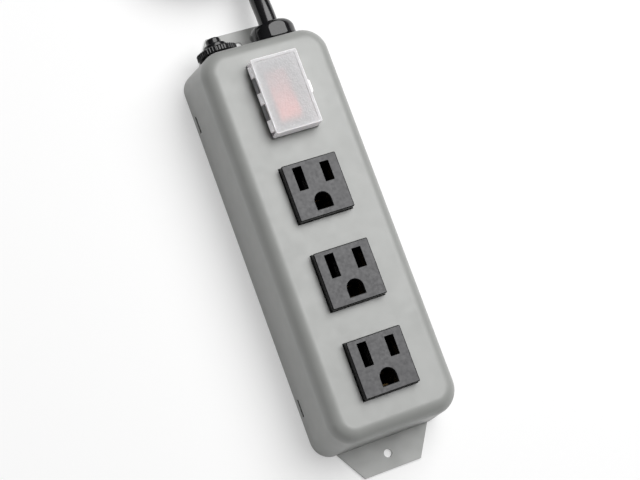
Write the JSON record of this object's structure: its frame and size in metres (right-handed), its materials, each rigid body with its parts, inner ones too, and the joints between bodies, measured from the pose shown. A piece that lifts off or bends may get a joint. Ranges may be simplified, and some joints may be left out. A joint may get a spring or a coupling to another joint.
{
  "type": "power strip",
  "caption": "Steel-cased power strip with grounded outlets, a guarded lit rocker switch, a push-to-reset breaker, screw ears and a folded supply cord.",
  "frame": {"origin": "under the middle of the strip, on the plane of its back plate, measured without the cord and plug", "axes": "+X across the strip to the right when the cord end is up, +Y along the strip towards the cord end, +Z out of the outlet face"},
  "size_m": [0.0819, 0.4554, 0.0429],
  "materials": {
    "grey_enamel": "satin enamel, faint texture",
    "black_plastic": "fine matte grain",
    "phenolic": "moulded, dull",
    "breaker_plastic": "glossy",
    "gland_plastic": "glossy nylon",
    "black_rubber": "smooth, semi-gloss",
    "brass": "stamped",
    "nickel_plate": "nickel plated",
    "zinc_steel": "zinc plated",
    "spring_steel": "drawn wire",
    "clear_plastic": "frosted, translucent",
    "red_plastic": "translucent red, lit from inside",
    "lamp_glass": "clear with an orange glow",
    "black_insulation": "vinyl",
    "white_insulation": "vinyl",
    "green_insulation": "vinyl"
  },
  "bodies": {
    "root": {"back_plate": "grey_enamel", "breaker_body": "phenolic", "breaker_bushing": "breaker_plastic", "breaker_nut": "breaker_plastic", "breaker_terminal_1": "brass", "breaker_terminal_2": "brass", "cord_entry": "black_rubber", "cord_tie": "black_insulation", "gland_lower_half": "gland_plastic", "gland_upper_half": "gland_plastic", "ground_contact_1": "brass", "ground_contact_2": "brass", "ground_contact_3": "brass", "ground_screw": "zinc_steel", "ground_terminal": "nickel_plate", "guard_base": "clear_plastic", "guard_hinge_pin": "nickel_plate", "housing_shell": "grey_enamel", "line_contact_1": "brass", "line_contact_2": "brass", "line_contact_3": "brass", "neon_lamp": "lamp_glass", "neutral_contact_1": "nickel_plate", "neutral_contact_2": "nickel_plate", "neutral_contact_3": "nickel_plate", "plug_blade_line": "nickel_plate", "plug_blade_neutral": "nickel_plate", "plug_body": "black_rubber", "plug_ground_pin": "nickel_plate", "power_cord_hank": "black_rubber", "power_cord_lead": "black_rubber", "power_cord_tail": "black_rubber", "receptacle_body_1": "black_plastic", "receptacle_body_2": "black_plastic", "receptacle_body_3": "black_plastic", "receptacle_cover_1": "phenolic", "receptacle_cover_2": "phenolic", "receptacle_cover_3": "phenolic", "receptacle_strap": "zinc_steel", "reset_spring": "spring_steel", "strap_nut_1": "zinc_steel", "strap_nut_2": "zinc_steel", "switch_frame": "black_plastic", "switch_terminal_feed": "brass", "switch_terminal_lamp": "brass", "switch_terminal_load": "brass", "wire_breaker_switch": "black_insulation", "wire_ground": "green_insulation", "wire_line_bus": "black_insulation", "wire_line_in": "black_insulation", "wire_neutral_bus": "white_insulation"},
    "rocker": {"switch_rocker": "red_plastic", "rocker_plunger": "brass", "plunger_spring": "spring_steel"},
    "contact_arm": {"contact_arm": "brass"},
    "guard_cover": {"guard_cover": "clear_plastic"},
    "reset_button": {"reset_button": "breaker_plastic"}
  },
  "joints": [
    {"name": "rocker_hinge", "type": "hinge", "parent": "root", "child": "rocker", "pos_m": [0, 0.0624, 0.0354], "axis": [1, 0, 0], "range_deg": [0, 14]},
    {"name": "contact_hinge", "type": "hinge", "parent": "root", "child": "contact_arm", "pos_m": [0, 0.0624, 0.0209], "axis": [1, 0, 0], "range_deg": [-12, 0]},
    {"name": "guard_hinge", "type": "hinge", "parent": "root", "child": "guard_cover", "pos_m": [-0.0102, 0.0624, 0.039], "axis": [0, -1, 0], "range_deg": [0, 150]},
    {"name": "reset_slide", "type": "slide", "parent": "root", "child": "reset_button", "axis": [0, -1, 0], "range_m": [0, 0.002], "stiffness_N_per_m": 900, "springref_m": -0.002, "deforming": ["reset_spring"]}
  ],
  "couplings": [
    {"joint": "contact_hinge", "follows": "rocker_hinge", "ratio": -0.85714}
  ]
}
